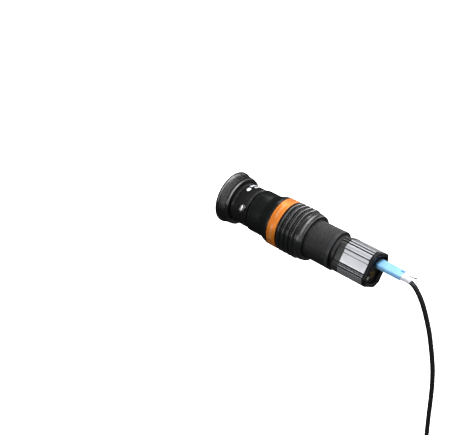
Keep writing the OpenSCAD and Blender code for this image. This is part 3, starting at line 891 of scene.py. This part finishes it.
def make_rear_cover():
    """The black end frame: a rounded square ring, bevelled towards the plug."""
    steps = [(176.52, 17.4, 20.3), (176.7, 17.5, 20.4), (179.3, 17.5, 20.4), (179.8, 17.25, 20.1),
             (180, 16.9, 19.8)]
    hole_steps = [(180, 14.5, 17.8), (179.7, 14.1, 17.4), (179.2, 13.75, 17.05), (176.52, 13.7, 17)]
    sections = []
    for x, flat, corner in steps + hole_steps:
        angles = [360 * k / 144 for k in range(144)]
        sections.append([(x, *polar(phi, side_r(phi, flat, corner))) for phi in angles])
    piece = tube_loft("rear_frame", sections)
    place(piece, "camera", "black_gloss", "rear_cover")


# ---------------------------------------------------------------- USB plug and relief

PLUG_Y, PLUG_Z = 6.2, 3.8


def make_plug():
    """The pale blue moulding: round-shouldered at the socket, with a stepped tail."""
    stations = [
        (176.32, 7.6, 4.0, 1.3), (176.7, 9.2, 4.9, 1.6), (177.4, 10.5, 5.5, 1.8),
        (178.6, 11.4, 5.9, 1.9), (180.2, 11.6, 6, 1.9), (203.2, 11.6, 6, 1.9),
        (203.8, 11.3, 5.7, 1.7), (203.98, 10.6, 5.2, 1.5),
    ]
    sections = []
    for x, wide, high, corner in stations:
        outline = rounded_rect(wide, high, corner, 7, (PLUG_Y, PLUG_Z))
        sections.append([(x, y, z) for y, z in outline])
    piece = loft("usb_plug_moulding", sections, 45)
    notch = box_piece("notch", (200.6, PLUG_Y + 0.6, PLUG_Z + 1.2), (205, PLUG_Y + 3, PLUG_Z + 4), 0)
    cut_away(piece, notch)
    soften(piece, 0.25)
    place(piece, "usb_lead", "plug_blue", "usb_plug_body")


def make_relief():
    """The white relief: two prongs that close round the lead, with a slot between them."""
    start, end = Vector((204.02, PLUG_Y, 3.4)), Vector(LEAD[0])
    towards = (Vector(LEAD[1]) - end).normalized()
    sections = []
    for k in range(13):
        t = k / 12
        ease = t * t * (3 - 2 * t)
        centre = start.lerp(end - 0.02 * towards, t)
        centre.z += 0.5 * math.sin(math.pi * t)
        out = Vector((1, 0, 0)).lerp(towards, ease).normalized()
        up = out.cross(Vector((0, 1, 0))) * -1
        wide, high = 8.4 - 2.4 * ease, 5.2 + 0.8 * ease
        outline = rounded_rect(wide, high, 1.3 + 1.6 * ease, 5)
        sections.append([centre + Vector((0, y, 0)) + up * z for y, z in outline])
    piece = loft("relief_sleeve", sections, 40)
    slot = box_piece("slot", (205.2, PLUG_Y + 0.6, 3.6), (211.2, PLUG_Y + 1.3, 9), 0)
    cut_away(piece, slot)
    soften(piece, 0.2)
    place(piece, "usb_lead", "relief_white", "strain_relief")


def make_relief_tie():
    """A thin strip beside the relief, its end curled up into a hook."""
    path = [(206, 11.2, 1.9), (209, 11.7, 2.0), (212, 11.9, 2.1), (214.2, 12.1, 2.1),
            (215, 12.4, 2.5), (215.2, 12.7, 3.2)]
    sections = []
    route = smooth_route(path, 4)
    for i, point in enumerate(route):
        ahead = (route[min(i + 1, len(route) - 1)] - route[max(i - 1, 0)]).normalized()
        side = ahead.cross(Vector((0, 0, 1))).normalized()
        up = side.cross(ahead)
        outline = rounded_rect(0.9, 1.3, 0.35, 3)
        sections.append([point + side * a + up * b for a, b in outline])
    piece = loft("relief_strip", sections, 40)
    place(piece, "usb_lead", "strip_olive", "relief_tie")


# ---------------------------------------------------------------- far plug and coil tie


def upright(outline, centre, level):
    """Points of an outline (x, y) at a height, round a centre."""
    return [(centre[0] + x, centre[1] + y, level) for x, y in outline]


FAR_PLUG = (228.8, 6)


def make_far_plug():
    stations = [
        (-271.02, 5.6, 13.4, 2.2), (-271.5, 7.2, 15.2, 2.4), (-273, 8, 16, 2.4),
        (-286, 8, 16, 2.4), (-288, 7.4, 15.4, 2.2), (-296, 7.4, 15.4, 2.2),
        (-298, 8, 16, 2.2), (-298.98, 7.6, 15.6, 2),
    ]
    sections = [upright(rounded_rect(w, d, r), FAR_PLUG, z) for z, w, d, r in stations]
    piece = loft("far_plug_moulding", sections, 40)
    place(piece, "usb_lead", "black_plastic", "usb_a_body")
    rings = []
    for k in range(41):
        t = k / 40
        level = -261.02 - 9.96 * t
        groove = 0.35 if k % 8 in (3, 4) and 2 < k < 38 else 0
        radius = 2.9 + 0.7 * t - groove
        circle = [(radius * math.cos(TAU * a / 40), radius * math.sin(TAU * a / 40))
                  for a in range(40)]
        rings.append(upright(circle, FAR_PLUG, level))
    piece = loft("far_plug_relief", rings, 30)
    place(piece, "usb_lead", "cord_black", "usb_a_relief")


def make_far_shell():
    """The plug's folded steel shell, open at its end, with its blue tongue inside."""
    outer, inner = rounded_rect(4.5, 12, 0.5, 4), rounded_rect(3.9, 11.4, 0.3, 4)
    levels = [(outer, -299.02), (outer, -316.8), (rounded_rect(4.3, 11.8, 0.5, 4), -317),
              (inner, -317), (inner, -301)]
    sections = [upright(shape, FAR_PLUG, level) for shape, level in levels]
    piece = loft("far_plug_shell", sections, 30)
    place(piece, "usb_lead", "steel", "usb_a_shell")
    tongue = box_piece("far_plug_tongue", (227.95, 0.5, -316.3), (229.7, 11.5, -301.2), 0.2)
    place(tongue, "usb_lead", "usb_blue", "usb_a_tongue")


def make_coil_strap():
    """A soft strap wrapped round all the turns."""
    across, reach = 2 * CORD_D + 0.9, COIL_ROW + CORD_D / 2 + 0.8
    centre = COIL + Vector((COIL_R, 0, 0))
    loop = rounded_rect(2 * reach, 2 * across, 4.5, 8)
    sections = []
    for grow, level in ((-0.3, -4.3), (0.35, -4.4), (0.5, -4.1), (0.5, 4.1), (0.35, 4.4),
                        (-0.3, 4.3)):
        ring = []
        for x, y in loop:
            ring.append(centre + Vector((x * (1 + grow / reach), y * (1 + grow / across), level)))
        sections.append(ring)
    piece = tube_loft("coil_strap", sections)
    place(piece, "usb_lead", "black_plastic", "coil_tie")


for build in (
    make_ring, make_visual_back, make_barlow_body, make_trim_ring, make_grip, make_collar,
    make_adapter, make_front_housing, make_housing, make_label, make_rear_cover, make_plug,
    make_relief, make_relief_tie, make_far_plug, make_far_shell, make_coil_strap,
):
    build()
make_knob("back_thumbscrew", BACK_SCREW, "back_knob", "visual_back_screw_head")
make_knob("holder_thumbscrew", HOLDER_SCREW, "holder_knob", "holder_screw_head")


# ---------------------------------------------------------------- stage


def make_cove():
    """A plain white floor well below the object, rising into a white dome round it.

    Only the camera sees it: the world and the lamps light the object."""
    reach, level, sides, rows = 6, -0.7, 64, 16
    rings = []
    for row in range(rows):
        tilt = math.pi / 2 * row / rows
        rings.append([(reach * math.cos(tilt) * math.cos(TAU * k / sides),
                       reach * math.cos(tilt) * math.sin(TAU * k / sides),
                       level + reach * math.sin(tilt)) for k in range(sides)])
    verts = [point for ring in rings for point in ring] + [(0, 0, level + reach)]
    faces = [tuple(range(sides))]
    for row in range(rows - 1):
        for k in range(sides):
            low, after = row * sides, (k + 1) % sides
            faces.append((low + k, low + after, low + sides + after, low + sides + k))
    last = (rows - 1) * sides
    faces += [(last + k, last + (k + 1) % sides, len(verts) - 1) for k in range(sides)]
    mesh = bpy.data.meshes.new("cove")
    mesh.from_pydata(verts, [], faces)
    cove = bpy.data.objects.new("cove", mesh)
    bpy.context.scene.collection.objects.link(cove)
    shader = Shader("cove", Roughness=0.8, Emission_Strength=1.2)
    shader.surface.inputs["Emission Color"].default_value = (1, 1, 1, 1)
    paper = [(0.3, (0.93, 0.93, 0.93)), (0.7, (0.95, 0.95, 0.95))]
    shader.colour(shader.ramp(shader.noise(3, 2), paper))
    mesh.materials.append(shader.material)
    cove.visible_glossy = False
    cove.visible_diffuse = False
    cove.visible_transmission = False
    cove.visible_shadow = False


def make_card():
    """A black card behind the ring, as the telescope's own dark back is in use.

    The camera doesn't see it: it only keeps the smooth barrels' reflections dark."""
    mesh = bpy.data.meshes.new("black_card")
    radius, behind, steps = 0.19, -0.05, 64
    rim = [(behind, radius * math.sin(TAU * k / steps), radius * math.cos(TAU * k / steps))
           for k in range(steps)]
    mesh.from_pydata(rim, [], [tuple(range(steps))])
    card = bpy.data.objects.new("black_card", mesh)
    bpy.context.scene.collection.objects.link(card)
    shader = Shader("black_card", Roughness=0.9)
    shades = [(0.3, (0.012, 0.012, 0.012)), (0.7, (0.02, 0.02, 0.02))]
    shader.colour(shader.ramp(shader.noise(8, 2), shades))
    mesh.materials.append(shader.material)
    card.visible_camera = False
    card.visible_diffuse = False
    card.visible_transmission = False


def area_light(name, direction, distance, size, power, target=Vector((0.12, 0, 0))):
    data = bpy.data.lights.new(name, "AREA")
    data.shape = "RECTANGLE"
    data.size, data.size_y = size
    data.energy = power
    light = bpy.data.objects.new(name, data)
    towards = Vector(direction).normalized()
    along = Vector((1, 0, 0))
    along = (along - along.project(towards)).normalized()
    facing = Matrix((along, towards.cross(along), towards)).transposed().to_4x4()
    facing.translation = target + towards * distance
    light.matrix_world = facing
    bpy.context.scene.collection.objects.link(light)


def make_world():
    """A white studio, darker below and in front, with a thin arch of light over the object."""
    world = bpy.data.worlds.new("studio")
    bpy.context.scene.world = world
    world.use_nodes = True
    nodes, links = world.node_tree.nodes, world.node_tree.links
    background = nodes["Background"]
    facing = nodes.new("ShaderNodeVectorMath")
    facing.operation = "DOT_PRODUCT"
    facing.inputs[1].default_value = (-0.1, 0.35, 0.93)
    links.new(nodes.new("ShaderNodeTexCoord").outputs["Generated"], facing.inputs[0])
    span = nodes.new("ShaderNodeMapRange")
    span.inputs["From Min"].default_value = -1
    links.new(facing.outputs["Value"], span.inputs["Value"])
    ramp = nodes.new("ShaderNodeValToRGB")
    links.new(span.outputs["Result"], ramp.inputs["Fac"])
    stops = [(0.1, 0.1), (0.5, 0.34), (0.75, 0.85), (1, 0.95)]
    while len(ramp.color_ramp.elements) < len(stops):
        ramp.color_ramp.elements.new(0.5)
    for element, (position, level) in zip(ramp.color_ramp.elements, stops):
        element.position = position
        element.color = (level, level, level * 1.01, 1)
    links.new(ramp.outputs["Color"], background.inputs["Color"])
    direction = nodes.new("ShaderNodeSeparateXYZ")
    links.new(facing.inputs[0].links[0].from_socket, direction.inputs["Vector"])
    strength = None
    for axis, low, high in (("X", -0.07, 0.13), ("Z", 0, 1)):
        for operation, edge in (("GREATER_THAN", low), ("LESS_THAN", high)):
            step = nodes.new("ShaderNodeMath")
            step.operation = operation
            step.inputs[1].default_value = edge
            links.new(direction.outputs[axis], step.inputs[0])
            if strength:
                both = nodes.new("ShaderNodeMath")
                both.operation = "MULTIPLY"
                links.new(strength, both.inputs[0])
                links.new(step.outputs["Value"], both.inputs[1])
                step = both
            strength = step.outputs["Value"]
    level = nodes.new("ShaderNodeMapRange")
    level.inputs["To Min"].default_value = 0.6
    level.inputs["To Max"].default_value = 9
    links.new(strength, level.inputs["Value"])
    links.new(level.outputs["Result"], background.inputs["Strength"])


def make_stage():
    make_cove()
    make_card()
    make_world()
    area_light("top_softbox", (-0.05, 0.25, 0.95), 1.1, (0.2, 0.7), 1.2)
    area_light("far_window", (-0.53, 0.5, 0.65), 1.1, (0.15, 0.45), 1.6)
    area_light("front_strip", (-0.35, -0.9, 0.2), 1.1, (0.2, 0.35), 1.2)
    area_light("right_strip", (0.6, -0.2, 0.75), 1.2, (0.25, 0.5), 1.5)
    settings = bpy.context.scene.view_settings
    settings.view_transform = "Standard"


make_stage()
